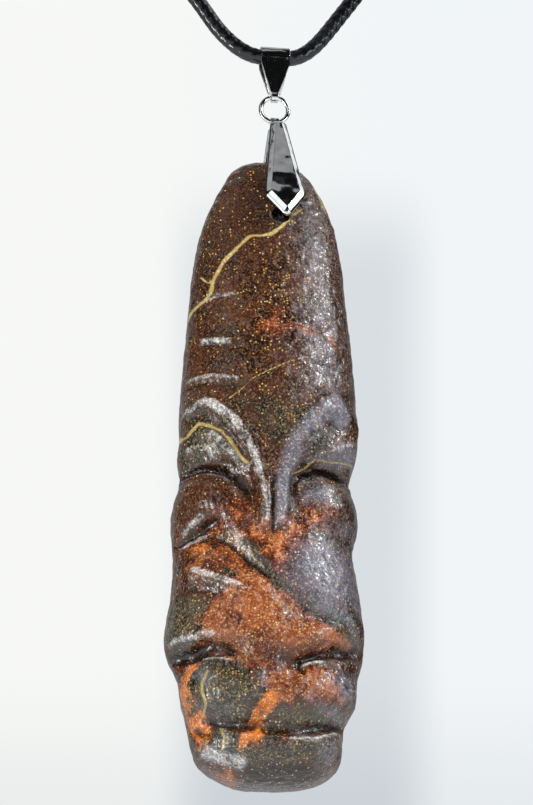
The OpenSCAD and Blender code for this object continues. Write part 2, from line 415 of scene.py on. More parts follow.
def makeClasp():
    selectNothing()
    bpy.ops.mesh.primitive_cylinder_add(
        vertices=claspFacts["sides"],
        radius=claspFacts["radius"] * mm,
        depth=claspFacts["barrel"] * mm,
        location=(0, 0, claspFacts["centre"] * mm),
        rotation=(0, math.pi / 2, 0),
    )
    clasp = newestPiece("barrelClasp")
    for side in (-1, 1):
        pickFaces(clasp, lambda centre, normal: normal.x * side > 0.9)
        bpy.ops.mesh.inset(thickness=(claspFacts["radius"] - claspFacts["capRadius"]) * mm)
        bpy.ops.mesh.extrude_region_move(
            TRANSFORM_OT_translate={"value": (side * claspFacts["cap"] * mm, 0, 0)}
        )
        bpy.ops.object.mode_set(mode="OBJECT")
    roundEdges(clasp, claspFacts["edge"])
    smoothShading(clasp, claspFacts["smooth"])
    return clasp


def brushedMetal():
    sheet = newMaterial("brushedMetal")
    lines = sheet.noise(sheet.place(0.6, stretch=(1, 24, 24)), 3, 0.6)
    cloud = sheet.noise(sheet.place(2.5), 2, 0.5)
    return sheet.surface({
        "Base Color": sheet.mix(cloud, (0.33, 0.33, 0.35), (0.45, 0.45, 0.47)),
        "Metallic": 1.0,
        "Roughness": 0.2 + 0.22 * lines,
        "Normal": sheet.bump(lines, 0.15, 0.02),
    })


clasp = makeClasp()
finishPiece(clasp, "necklace", brushedMetal(), "clasp")
print("clasp made")


# metal of the bails and the ring: a polished dark plating, with light wear
def darkMirror(name, dark, light, dull):
    sheet = newMaterial(name)
    swell = sheet.noise(sheet.place(2.6, move=(2, 5, 1)), 1, 0.4)
    cloud = sheet.noise(sheet.place(1.2), 3, 0.55)
    rub = sheet.noise(sheet.place(0.25, stretch=(1, 1, 0.25)), 4, 0.65)
    wear = rub.rise(0.58, 0.75)
    pressed = sheet.bump(swell, 1.0, 0.25)
    return sheet.surface({
        "Base Color": sheet.mix(cloud.rise(0.35, 0.7), dark, light),
        "Metallic": 1.0,
        "Roughness": dull + 0.1 * wear + 0.05 * cloud,
        "Normal": sheet.bump(cloud + 0.15 * rub, 0.06, 0.06, pressed),
    })


# cord bail: the solid's folded strap with rounded edges
bailFacts = {"edge": 0.09, "bevelOver": 35, "smooth": 34}


def makeBail():
    bail = copyOfNode("cord_bail", "strapBail")
    roundEdges(bail, bailFacts["edge"], over=bailFacts["bevelOver"])
    smoothShading(bail, bailFacts["smooth"])
    return bail


# pinch bail: an arch on the ring, two kite-shaped leaves with a cut crown, two pegs
pinchFacts = {
    "pivot": -142.54,
    "open": 18.72,
    "lean": 1.5,
    "across": 0.3,
    # across, up and rounding of each corner of a leaf
    "corners": [
        (0.95, -0.5, 0.8), (-0.95, -0.5, 0.8), (-2.52, -12.8, 1.4), (0, -16.5, 0.7), (2.52, -12.8, 1.4),
    ],
    # inset and height of each level, from the back of a leaf to the flat of its crown
    "levels": [(0, 0), (0, 0.35), (0.16, 0.55), (0.7, 0.95)],
    "cornerSteps": 12,
    "leastRounding": 0.05,
    "edge": 0.09,
    "bevelOver": 14,
    "archRadius": 0.58,
    "archWidth": 1.0,
    "archThickness": 0.2,
    "archSides": 48,
    "neck": 1.5,
    "stripEdge": 0.05,
    "pegRadius": 0.4,
    "pegLength": 2.0,
    "pegSides": 32,
    "pegEdge": 0.12,
    # a peg's end in its leaf: across, out from the middle, up
    "pegPlace": (0.3, 5.52, -156.69),
    "endBevelOver": 40,
    "smooth": 24,
}


def roundedKite(inset):
    # the leaf's outline moved inwards, with an arc at each corner
    corners = [(Vector((across, up)), rounding) for across, up, rounding in pinchFacts["corners"]]
    steps, outline = pinchFacts["cornerSteps"], []
    for i, (corner, rounding) in enumerate(corners):
        before = (corner - corners[i - 1][0]).normalized()
        after = (corners[(i + 1) % len(corners)][0] - corner).normalized()
        inward = Vector((-before.y, before.x)) + Vector((-after.y, after.x))
        half = before.angle(after) / 2
        radius = max(rounding - inset, pinchFacts["leastRounding"])
        arc = corner + inward.normalized() * ((inset + radius) / math.cos(half))
        first = Vector((before.y, -before.x))
        start = math.atan2(first.y, first.x)
        for k in range(steps + 1):
            turn = start + 2 * half * k / steps
            outline.append((arc.x + radius * math.cos(turn), arc.y + radius * math.sin(turn)))
    return outline


def makeLeaf():
    rings = [(roundedKite(inset), height) for inset, height in pinchFacts["levels"]]
    points = [(across * mm, -height * mm, up * mm) for outline, height in rings for across, up in outline]
    count = len(rings[0][0])
    flat = tuple((len(rings) - 1) * count + i for i in range(count))
    leaf = meshPiece("leaf", points, [tuple(range(count)), *ringFaces(len(rings), count), flat])
    turnNormalsOut(leaf)
    roundEdges(leaf, pinchFacts["edge"], over=pinchFacts["bevelOver"])
    return leaf


def joined(name, pieces):
    workOn(pieces[0])
    for piece in pieces:
        piece.select_set(True)
    bpy.ops.object.join()
    pieces[0].name = name
    return pieces[0]


def makePinchBail():
    neck, thick = pinchFacts["neck"], pinchFacts["archThickness"]
    bore = pinchFacts["archRadius"] - thick
    leaves = []
    for side in (1, -1):
        leaf = makeLeaf()
        leaf.data.transform(Matrix.Translation((pinchFacts["across"] * mm, 0, 0)))
        bpy.ops.mesh.primitive_cube_add(size=1, location=(0, -thick / 2 * mm, -neck / 2 * mm))
        bpy.context.object.scale = (pinchFacts["archWidth"] * mm, thick * mm, neck * mm)
        strip = newestPiece("strip")
        roundEdges(strip, pinchFacts["stripEdge"], 2)
        leaf = joined("leaf", [leaf, strip])
        leaf.data.transform(
            Matrix.Translation((0, 0, pinchFacts["pivot"] * mm))
            @ Matrix.Scale(side, 4, (0, 1, 0))
            @ Matrix.Rotation(math.radians(-pinchFacts["open"]), 4, "X")
            @ Matrix.Rotation(math.radians(-pinchFacts["lean"]), 4, "Y")
            @ Matrix.Translation((0, -bore * mm, 0))
        )
        if side < 0:
            leaf.data.flip_normals()
        leaves.append(leaf)
    bpy.ops.mesh.primitive_cylinder_add(
        vertices=pinchFacts["archSides"],
        radius=pinchFacts["archRadius"] * mm,
        depth=pinchFacts["archWidth"] * mm,
        end_fill_type="NOTHING",
        location=(0, 0, pinchFacts["pivot"] * mm),
        rotation=(0, math.pi / 2, 0),
    )
    arch = newestPiece("arch")
    applyModifier(arch, "SOLIDIFY", thickness=thick * mm, offset=-1)
    roundEdges(arch, pinchFacts["stripEdge"], 2, pinchFacts["endBevelOver"])
    pegs = []
    px, py, pz = pinchFacts["pegPlace"]
    for side in (1, -1):
        middle = side * (py - pinchFacts["pegLength"] / 2)
        bpy.ops.mesh.primitive_cylinder_add(
            vertices=pinchFacts["pegSides"],
            radius=pinchFacts["pegRadius"] * mm,
            depth=pinchFacts["pegLength"] * mm,
            location=(px * mm, middle * mm, pz * mm),
            rotation=(math.pi / 2, 0, 0),
        )
        peg = newestPiece("peg")
        roundEdges(peg, pinchFacts["pegEdge"], over=pinchFacts["endBevelOver"])
        pegs.append(peg)
    pinch = joined("leafBail", [*leaves, arch, *pegs])
    smoothShading(pinch, pinchFacts["smooth"])
    return pinch


# jump ring: a bent wire with its two cut ends close together
ringFacts = {
    "centre": -140.82,
    "radius": 1.72,
    "wire": 0.28,
    "steps": 120,
    "wireSides": 20,
    "cutAt": -4,
    "smooth": 50,
}


def makeRing():
    selectNothing()
    centre = ringFacts["centre"] * mm
    bpy.ops.mesh.primitive_torus_add(
        major_segments=ringFacts["steps"],
        minor_segments=ringFacts["wireSides"],
        major_radius=ringFacts["radius"] * mm,
        minor_radius=ringFacts["wire"] * mm,
        location=(0, 0, centre),
        rotation=(math.pi / 2, 0, 0),
    )
    ring = newestPiece("wireRing")

    def atCut(place, normal):
        turn = math.degrees(math.atan2(place.z - centre, place.x))
        return abs(turn - ringFacts["cutAt"]) < 180 / ringFacts["steps"]

    pickFaces(ring, atCut)
    bpy.ops.mesh.delete(type="FACE")
    bpy.ops.mesh.select_all(action="SELECT")
    bpy.ops.mesh.fill_holes(sides=0)
    bpy.ops.object.mode_set(mode="OBJECT")
    smoothShading(ring, ringFacts["smooth"])
    return ring


gunmetal = darkMirror("gunmetalPlate", (0.56, 0.55, 0.55), (0.68, 0.67, 0.66), 0.05)
ringMetal = darkMirror("ringWire", (0.6, 0.59, 0.58), (0.78, 0.76, 0.74), 0.08)
bail = makeBail()
finishPiece(bail, "bail", gunmetal, "cord_bail")
ring = makeRing()
finishPiece(ring, "ring", ringMetal, "jump_ring")
pinch = makePinchBail()
finishPiece(pinch, "drop", gunmetal, "pinch_bail")
print("bails and ring made")


# the stone: places are millimetres across from its middle line and down from its top
stoneFacts = {
    "middle": -1.0,
    "top": -148.19,
    "voxel": 0.27,
    "smoothFactor": 0.5,
    "smoothRounds": 8,
    "reliefFactor": 0.8,
    "reliefRounds": 30,
    # how far a normal has to turn to the front for a cut to start, and how much further for all of it
    "facing": (0.05, 0.35),
    "chin": 0.5,
    "chinFrom": 70,
    "chinOver": 8,
    # width of the edge of a colour zone with softness 1
    "blend": 3.0,
    # depth over which the carved side's colours fade
    "frontFade": 4,
    "veinDepth": 2,
    "farFromVein": 9.0,
}
# the cutter's uneven hand, broad and small dents all over: name, size, strength
stoneDents = [("broadDents", 4.5, 0.3), ("smallDents", 1.3, 0.22)]
# fine cuts and ridges over the ones in the solid: path, width, height
fineCuts = [
    # creases over the brows
    ([(-9.4, 18.6), (-7.3, 20.3), (-4.7, 21.1)], 0.35, -0.16),
    ([(-9, 18), (-7, 19.4), (-4.7, 20)], 0.5, 0.12),
    ([(-8.1, 26.6), (-4.8, 27.4)], 0.4, -0.16),
    ([(-8.4, 25.8), (-5.3, 26.4)], 0.4, 0.2),
    ([(-9.7, 31.6), (-7.4, 31.9), (-4.8, 32.4)], 0.3, -0.2),
    ([(-9.7, 30.6), (-7.4, 30.9), (-4.8, 31.5)], 0.3, 0.2),
    ([(-1.3, 23.7), (2.3, 24.1), (6.1, 24.5)], 0.6, -0.12),
    ([(-1, 25), (5.5, 25.8)], 0.8, 0.14),
    ([(5.4, 24.6), (7.4, 25.6), (8.8, 27)], 0.4, -0.2),
    # brows, their inner hollows and the cut between them
    ([(-9.8, 35.6), (-8, 35.6), (-5.4, 38.6), (-3.6, 41.5)], 0.6, -0.4),
    ([(-9, 37.4), (-7, 38.6), (-5, 41)], 0.5, 0.25),
    ([(-0.5, 44.1), (-0.6, 50.2)], 0.3, -0.7),
    ([(1.2, 43.5), (0.6, 49)], 0.5, 0.3),
    ([(-2, 42.4), (-1.5, 49.5)], 0.5, 0.3),
    ([(3, 38.5), (5, 36.4), (7, 36.4)], 0.9, -0.4),
    # upper eyes
    ([(-10.6, 41.8), (-8.6, 41.7), (-5.9, 42.6), (-3.9, 44.6)], 0.35, -0.8),
    ([(-9.8, 42.6), (-7.6, 42.8), (-5.8, 43.8)], 0.3, 0.25),
    ([(3.3, 43.4), (5, 42.3), (8.8, 42.3)], 0.35, -0.8),
    ([(5.6, 43.1), (8, 43.1)], 0.3, 0.25),
    ([(2.6, 44.9), (3.1, 44.2)], 0.7, 0.3),
    ([(3.6, 41.4), (6, 40.3), (9.8, 38.4)], 0.5, 0.3),
    ([(8.6, 42.6), (9.6, 43)], 0.4, 0.2),
    ([(-9.6, 44), (-5, 44.6)], 0.8, 0.2),
    ([(3.6, 47), (4.8, 47.8)], 0.4, -0.2),
    ([(3, 44.6), (5, 43.8), (7.4, 44.4)], 0.6, 0.25),
    # bags, folds and the long slanted groove
    ([(-10.6, 50.6), (-8.8, 50), (-7, 48.9)], 0.4, -0.5),
    ([(-9.9, 49), (-8.6, 47.9)], 0.5, 0.25),
    ([(-10.2, 51.4), (-8, 50.8)], 0.4, 0.2),
    ([(-8, 50.2), (-5.9, 51.3), (-3.2, 54), (-0.9, 56)], 0.35, -0.3),
    ([(-5, 50.6), (-2.2, 53)], 0.7, 0.2),
    ([(4.6, 60.4), (8.6, 61)], 0.5, -0.25),
    ([(-9.4, 53.6), (-7.4, 53.4), (-6, 54)], 0.6, -0.22),
    ([(-9.4, 55.4), (-7, 56.6), (-4.5, 57.4)], 0.5, 0.25),
    ([(-9.4, 57), (-6.5, 58.2)], 0.6, -0.25),
    # lower brows and eyes
    ([(-4.4, 60.8), (-4.9, 62.8)], 0.3, -0.3),
    ([(-11.8, 64.3), (-9.4, 64.5), (-7.6, 64)], 0.6, -0.7),
    ([(-7.6, 64), (-6, 64.2), (-5, 64.8)], 0.3, -0.4),
    ([(-5.2, 65.8), (-4.2, 65.9)], 0.6, 0.45),
    ([(2.4, 65.6), (4.6, 64.8), (7, 63.9)], 0.35, -0.6),
    ([(7, 63.9), (10, 63.2)], 0.6, -0.5),
    ([(-9.3, 65.6), (-6.2, 65.5)], 0.3, 0.3),
    ([(3, 66), (5.6, 65.4)], 0.3, 0.3),
    ([(2.7, 66.2), (3, 66.8)], 0.4, -0.7),
    # nose, lips and chin
    ([(-4.9, 65.8), (-4.6, 67.6)], 0.4, -0.25),
    ([(1.7, 66.2), (1.9, 68.2)], 0.4, -0.2),
    ([(-9, 67), (-9, 70.5)], 0.5, -0.3),
    ([(-3, 70.2), (-1.6, 71.6)], 0.6, -0.35),
    ([(-7.6, 71.9), (-5.4, 72.6), (-2.8, 73)], 0.5, -0.4),
    ([(-1.2, 73.3), (2.7, 73.3), (8, 71.8)], 0.5, -0.4),
    ([(1.8, 74.2), (4.6, 74.2), (7.6, 72.8)], 0.35, 0.25),
    ([(-8.6, 72.8), (-7.6, 73.2)], 0.5, -0.5),
    ([(-3.3, 73.2), (-3.4, 76)], 0.5, 0.15),
]
# a small pit with a raised rim, low on the right
ringPit = {
    "place": (8.6, 67.8),
    "rim": 0.22,
    "rimRadius": 0.8,
    "rimWidth": 0.3,
    "depth": 0.3,
    "width": 0.4,
}


def nearPath(across, down, path):
    # distance in millimetres from each place to a path
    best = np.full(across.shape, 1e9)
    for (x0, d0), (x1, d1) in zip(path[:-1], path[1:]):
        ux, ud = x1 - x0, d1 - d0
        t = np.clip(((across - x0) * ux + (down - d0) * ud) / (ux * ux + ud * ud), 0, 1)
        best = np.minimum(best, np.hypot(across - x0 - ux * t, down - d0 - ud * t))
    return best


def meshArrays(piece):
    count = len(piece.data.vertices)
    co, normals = np.zeros(count * 3), np.zeros(count * 3)
    piece.data.vertices.foreach_get("co", co)
    piece.data.vertices.foreach_get("normal", normals)
    return co.reshape(-1, 3), normals.reshape(-1, 3)


def keepValues(piece, name, values):
    layer = piece.data.attributes.new(name, "FLOAT", "POINT")
    layer.data.foreach_set("value", values.astype(np.float32))


def stonePlaces(co):
    return co[:, 0] * 1000 - stoneFacts["middle"], co[:, 1] * 1000, stoneFacts["top"] - co[:, 2] * 1000


def makeStone():
    stone = copyOfNode("stone", "carvedStone")
    applyModifier(stone, "REMESH", mode="VOXEL", voxel_size=stoneFacts["voxel"] * mm)
    rounds = stoneFacts["smoothRounds"]
    applyModifier(stone, "SMOOTH", factor=stoneFacts["smoothFactor"], iterations=rounds)
    co, normals = meshArrays(stone)
    across, deep, down = stonePlaces(co)
    start, over = stoneFacts["facing"]
    facing = np.clip((-normals[:, 1] - start) / over, 0, 1) * (deep < 0)
    lift = np.zeros(len(co))
    for path, width, height in fineCuts:
        lift += height * np.exp(-((nearPath(across, down, path) / width) ** 2))
    pit = np.hypot(across - ringPit["place"][0], down - ringPit["place"][1])
    rim = ringPit["rim"] * np.exp(-(((pit - ringPit["rimRadius"]) / ringPit["rimWidth"]) ** 2))
    lift += rim - ringPit["depth"] * np.exp(-((pit / ringPit["width"]) ** 2))
    co += normals * (lift * facing)[:, None] * mm
    low = np.clip((down - stoneFacts["chinFrom"]) / stoneFacts["chinOver"], 0, 1)
    co[:, 2] -= stoneFacts["chin"] * mm * low
    stone.data.vertices.foreach_set("co", co.ravel())
    stone.data.update()
    for name, size, strength in stoneDents:
        texture = bpy.data.textures.new(name, "CLOUDS")
        texture.noise_scale = size * mm
        texture.noise_depth = 2
        applyModifier(stone, "DISPLACE", texture=texture, strength=strength * mm, texture_coords="LOCAL")
    # how far each point stands out of its surroundings, for painted highlights on ridges and painted shade in
    # hollows
    flattened = stone.copy()
    flattened.data = stone.data.copy()
    bpy.context.scene.collection.objects.link(flattened)
    rounds = stoneFacts["reliefRounds"]
    applyModifier(flattened, "SMOOTH", factor=stoneFacts["reliefFactor"], iterations=rounds)
    around = meshArrays(flattened)[0]
    co, normals = meshArrays(stone)
    keepValues(stone, "relief", 1000 * ((co - around) * normals).sum(axis=1))
    bpy.data.objects.remove(flattened)
    workOn(stone)
    bpy.ops.object.shade_smooth()
    return stone


# colour zones of the stone's carved side: strength, softness of the edge, outline (across, down)
stoneZones = {
    # reddish brown to rust
    "rust": [
        (0.45, 3, [(-11, 50), (-8, 45), (-4, 45), (2, 49), (5, 48), (3, 52), (1, 56), (2, 59), (-6, 58),
                   (-11, 57)]),
        (0.9, 1.6, [(-6.5, 47), (-2, 49.5), (1.5, 49), (6.5, 46.5), (6.5, 47.5), (2, 52), (0.5, 54.5),
                    (-4, 51)]),
        (0.9, 1, [(-6, 54), (-4, 53.5), (-1, 56.5), (1.5, 58.5), (-3, 59), (-5.5, 57)]),
        (1, 0.7, [(-8.6, 60), (-7, 58.5), (-4, 57), (0.5, 57.5), (3.5, 60.4), (9, 62.2), (9.5, 63.6),
                  (5, 63.8), (3, 65), (1.5, 66.4), (-1.5, 66.4), (-3.5, 67), (-6, 64.6), (-9, 63.5),
                  (-9, 61.5)]),
        (0.9, 0.9, [(-1, 67.5), (1.5, 66), (6.3, 66.4), (8, 69.6), (5, 70.2), (2.5, 69.9), (-0.5, 70.8),
                    (-1.5, 69)]),
        (0.45, 1, [(-6.5, 65.5), (-3, 66.5), (-2.5, 68.5), (-5, 69)]),
        (0.4, 1, [(0, 73.6), (6, 73), (5, 75), (0, 75.4)]),
        (0.8, 0.6, [(-6.5, 76.8), (-3.4, 77.4), (-3, 79), (-6, 78.6)]),
        (0.6, 1.6, [(-2.6, 24.4), (0, 23.2), (3.6, 24.2), (1.5, 25.6), (-1, 25.6)]),
        (0.35, 3, [(-3, 20), (3.5, 19), (5, 25), (-4, 29), (-7, 29)]),
        (0.7, 0.5, [(5.8, 24.4), (7.4, 25.2), (8.6, 27.4), (7, 26.6)]),
        (0.3, 3, [(-4, 1.5), (-1, 1.5), (-1, 7), (-2, 12), (-7, 19), (-7, 12)]),
        (0.25, 3, [(6, 12), (8, 14), (8.5, 24), (7, 24)]),
        (0.25, 3, [(-6, 25), (3, 25), (2, 30), (-5, 31)]),
        (0.3, 2, [(2, 52), (8, 52), (8, 58), (2, 58)]),
        (0.5, 1, [(-11.5, 64), (-8, 64.5), (-10, 66.5), (-11.5, 66)]),
    ],
    # bright orange
    "ember": [
        (0.8, 1, [(-9.6, 51.6), (-8, 51.2), (-6.8, 52.6), (-8, 54), (-8.4, 55), (-9.4, 54)]),
        (0.6, 1.8, [(-3, 50), (1.5, 49.4), (6, 46.8), (5, 48.6), (2, 51), (0.5, 53.5), (-2, 52)]),
        (0.5, 1.8, [(-4.6, 55), (-3, 54.4), (-1, 56.4), (0, 58.5), (-3, 57.8)]),
        (0.25, 2.5, [(-7, 60), (-4, 58), (-1, 59), (-2, 63), (-5, 63.5)]),
        (0.7, 0.6, [(6.6, 68.8), (7.6, 69), (8.2, 70), (7.2, 70)]),
        (0.5, 0.6, [(-6, 77), (-3.6, 77.6), (-3.4, 78.8), (-5.4, 78.2)]),
    ],
    # dark olive with gold specks
    "olive": [
        (1, 0.9, [(-12.5, 58), (-9.7, 57.6), (-7.6, 58), (-8.4, 59.8), (-9, 61.6), (-9.2, 63.4),
                  (-12.5, 63.4)]),
        (1, 0.7, [(-9, 65.7), (-7.6, 64.9), (-5.9, 65.3), (-3, 67.5), (-2, 69), (-2.6, 71), (-3.8, 72.3),
                  (-6, 72.2), (-8.2, 71), (-9.5, 69.4), (-9.7, 68)]),
        (0.95, 0.7, [(-6.6, 50), (-4.8, 50.4), (-2, 53), (0.3, 55.8), (2.6, 59), (0.8, 58), (-1.5, 55.6),
                     (-4.5, 52.6)]),
        (1, 0.6, [(3, 58.6), (5.5, 58.6), (8, 59.2), (9.8, 61), (10, 62.6), (6, 61.2)]),
        (0.9, 0.6, [(-1.2, 71.6), (0.4, 70.8), (3, 70.7), (8.5, 71), (5.4, 72.8), (-0.2, 73.6), (-1.5, 73)]),
        (0.95, 0.7, [(-7.2, 74), (-5.7, 73), (-4.2, 73.2), (-4, 75.4), (3, 74.8), (8.5, 73), (7.2, 76),
                     (-0.2, 77.5), (-5.2, 77), (-8.4, 75)]),
        (0.8, 1.2, [(-10.6, 33), (-8.7, 34.8), (-6.5, 36.4), (-5, 39), (-3.6, 42), (-6, 41.6), (-10.8, 41)]),
        (0.9, 0.8, [(3.6, 39), (5.4, 37), (6.8, 37.2), (6.4, 39.3), (3.2, 41.6), (2.7, 40.9)]),
        (0.75, 2, [(-4.7, 34), (3, 33.6), (4.4, 35.4), (2.2, 39), (-0.2, 41), (-2, 39), (-3.4, 36.8)]),
        (0.4, 2, [(-8.5, 21.5), (-5.3, 21.5), (-4, 23), (-4.8, 25), (-8.2, 24.2)]),
        (0.6, 2, [(-9.5, 8), (-7, 8), (-8, 17), (-10.5, 17)]),
        (0.6, 0.8, [(-6.5, 55), (-5, 54.4), (-4, 56), (-6, 56.4)]),
    ],
    # painted sheen: grey-blue reflections of the bright studio, broken up by the grain
    "ash": [
        (0.55, 3, [(2.5, 10.5), (4.5, 8), (6.8, 12), (7.5, 20), (8.6, 30), (7.5, 34), (2.4, 33.5), (2.2, 28),
                   (3, 20)]),
        (1, 0.6, [(4.6, 34.5), (7.5, 32.5), (9, 34), (8.6, 36.4), (5.5, 36.4), (3, 39.6), (1.7, 44),
                  (0.7, 49.6), (-0.5, 49.6), (0.2, 43), (1.4, 39)]),
        (0.8, 0.7, [(3.6, 41.6), (6, 40.2), (9.8, 38), (10, 40.6), (6, 41.4)]),
        (0.75, 1, [(3, 44.6), (5, 43.8), (7.2, 44.4), (7.6, 46), (5, 47), (3.2, 46.4)]),
        (0.95, 2, [(1, 54.5), (2.5, 52), (5, 50.4), (8, 50.8), (9.8, 53.5), (10, 57.4), (8.4, 59.4),
                   (3.5, 59), (1.4, 57)]),
        (0.7, 1, [(7, 48.6), (9.5, 48), (9.6, 50), (7.5, 50.4)]),
        (0.8, 0.6, [(3.2, 59), (5, 60), (8.6, 60.6), (10, 62), (9.6, 59.6), (5, 58.4)]),
        (0.8, 0.7, [(-7.8, 75), (-5.7, 75.8), (-3.3, 76.4), (-3.3, 77.4), (-7.2, 76.4)]),
        (0.6, 0.8, [(-2.4, 66.6), (-1, 67.4), (-0.8, 69.3), (-2.4, 69.3)]),
        (0.9, 0.6, [(-9.2, 66.6), (-7.7, 66.4), (-7.2, 67.8), (-8.2, 68.4)]),
        (0.6, 0.7, [(-8.7, 70), (-5.2, 71), (-3.8, 71.4), (-4.6, 72.2), (-7.4, 71.7)]),
        (0.85, 0.9, [(6.2, 67), (9.4, 66.4), (9.4, 69.2), (7.6, 69.7), (6.6, 68.6)]),
        (0.7, 0.8, [(2.4, 69.5), (5, 70), (8.8, 70.6), (8.6, 71.8), (5, 71.2)]),
        (0.6, 0.8, [(5.2, 74.6), (8, 73.6), (7, 77), (5, 77)]),
        (0.7, 0.6, [(1.8, 73.8), (4.5, 73.8), (7.4, 72.6), (7.2, 73.2), (4, 74.5)]),
        (0.5, 0.8, [(-7, 72.6), (-5.4, 73), (-5.8, 75), (-6.8, 75)]),
    ],
    # nearly black: painted shade in the slots and hollows of the carving, and darker at the top
    "dark": [
        (0.85, 1, [(-1.6, 64.4), (1.5, 64.4), (1.8, 66), (0.2, 66.6), (-2, 65.8)]),
        (1, 0.5, [(-4.5, 77.4), (4.5, 76.8), (6, 77.4), (3, 79.6), (-3.4, 79.6)]),
        (0.6, 0.8, [(8.6, 63), (10, 63), (9.6, 66.4), (8.4, 66)]),
        (0.62, 4, [(-6, -1), (5, -1), (5, 9), (0, 13), (-4, 16), (-8, 16), (-7, 8)]),
        (0.9, 0.7, [(3.2, 39.8), (5.2, 37), (7, 36.9), (6.6, 39.4), (3, 42)]),
        (0.5, 2, [(-7, 42.6), (-3.6, 44), (-3, 46.4), (-5, 46)]),
    ],
    # crowded specks
    "sparks": [
        (1, 2, [(-1.5, 18.5), (3, 18.5), (3.5, 22.5), (-2, 22.5)]),
        (0.6, 1, [(1.5, 34.4), (4.2, 35), (4, 36.6), (1.6, 36)]),
        (0.5, 2, [(-2, 25), (1, 25), (1, 27), (-2, 27)]),
        (0.5, 1, [(-9, 59), (-8, 59), (-8.6, 62), (-10.4, 62.4)]),
        (0.6, 1, [(-5.5, 67), (-3, 68.5), (-3.6, 71), (-5.4, 70.4)]),
    ],
}
# strokes in the same zones: path, half width, strength
stoneStrokes = {
    "rust": [
        ([(-2, 24.7), (1, 24.2), (4.6, 25)], 0.9, 0.5),
        ([(-0.6, 70), (-1.8, 72), (-2.2, 73.8), (-3.6, 75.4)], 0.9, 1),
        ([(-9.2, 65.5), (-10, 68), (-9.2, 71), (-7.8, 73), (-7.8, 74.5)], 0.7, 0.9),
    ],
    "ember": [
        ([(-0.9, 70.2), (-1.7, 71.4), (-2.2, 72.6)], 0.75, 1.3), ([(-1.4, 73.7), (-2.8, 74.2)], 0.6, 1),
        ([(-3.5, 74.4), (-3.8, 75.4)], 0.6, 1), ([(-9.2, 66), (-10, 68), (-9.6, 70)], 0.5, 0.9),
        ([(-8.3, 71.6), (-7.6, 73.6)], 0.8, 1.3), ([(-7.8, 74.2), (-7.6, 74.8)], 0.5, 0.8),
    ],
    # painted highlights: white glints along brow ridges, folds, lids and lips
    "frost": [
        ([(-10, 34.6), (-8.2, 34), (-6.3, 35.5)], 0.4, 0.8),
        ([(-7.6, 34.4), (-5, 36.8), (-3.6, 38.8)], 0.5, 1),
        ([(-3.6, 38.8), (-2.6, 41), (-1.9, 43.4)], 0.36, 1),
        ([(-1.9, 43.4), (-1.4, 46.4), (-1.2, 49.2)], 0.3, 0.75),
        ([(-7.6, 38), (-6, 39.6), (-4.4, 41.6)], 0.4, 0.7),
        ([(-9.8, 39.2), (-8.2, 39.4), (-7.2, 40.6)], 0.35, 0.7),
        ([(-10, 49.4), (-8.5, 48.2)], 0.35, 0.8), ([(-10.2, 51), (-8, 50.4)], 0.35, 0.8),
        ([(-9.3, 54.6), (-7, 56), (-5, 56.8)], 0.45, 0.85), ([(-5, 56.8), (-3.4, 57.8)], 0.3, 0.7),
        ([(-8.2, 26), (-5.5, 26.6)], 0.3, 0.8), ([(-9.8, 30.6), (-7.4, 30.8), (-4.6, 31.5)], 0.3, 0.6),
        ([(-8.6, 20.7), (-7, 20.4), (-4.6, 20.3)], 0.22, 0.6), ([(-5.2, 49.8), (-4.2, 51)], 0.5, 0.5),
        ([(-11.5, 62.6), (-9.4, 62.9), (-7.5, 62.8)], 0.3, 0.7), ([(-6.5, 60.5), (-5.5, 62)], 0.4, 0.3),
        ([(-1.6, 67), (-2, 70)], 0.2, 0.5), ([(5, 68.5), (6.5, 68.8)], 0.5, 0.3),
        ([(-7.4, 75.4), (-5.6, 76.3), (-3.6, 76.9)], 0.6, 0.7), ([(-5.6, 73.2), (-5.2, 75)], 0.3, 0.4),
        ([(-7.9, 64.9), (-6.4, 65.2), (-5, 65.7)], 0.18, 0.9), ([(2.9, 66), (5.2, 65.4)], 0.16, 0.9),
        ([(1.8, 74.3), (4.5, 74.2), (7.2, 73)], 0.18, 0.8), ([(5.9, 40.2), (9.3, 38.3)], 0.25, 0.5),
    ],
    # painted shade in the eye slots, the cut between the brows, the mouth lines and the pit
    "dark": [
        ([(-10.4, 41.6), (-8.6, 41.5), (-5.9, 42.5)], 0.3, 0.8),
        ([(-5.9, 42.5), (-4.2, 43.8), (-3.3, 45.4)], 0.55, 0.7),
        ([(2.7, 43.6), (4.6, 42.3), (8.4, 42)], 0.45, 1), ([(-0.6, 45), (-0.5, 50.6)], 0.16, 0.9),
        ([(-11.8, 64), (-9.8, 64.4), (-8, 64.1)], 0.8, 0.9), ([(-8, 64.1), (-6, 64), (-4.8, 64.8)], 0.4, 0.7),
        ([(2.8, 65.6), (4.6, 64.8), (7, 64.2)], 0.4, 0.6), ([(7, 64.2), (9.8, 64)], 0.6, 0.6),
        ([(-7.6, 71.9), (-5.4, 72.6), (-2.8, 73.1)], 0.45, 0.6),
        ([(0, 73.4), (3, 73.2), (7, 72.2)], 0.4, 0.6),
        ([(2.6, 66), (3, 66.7)], 0.4, 0.9), ([(-8.4, 72.6), (-7.8, 73.4)], 0.3, 0.8),
        ([(7.8, 67.8), (8.4, 67.9)], 0.25, 0.8),
    ],
}
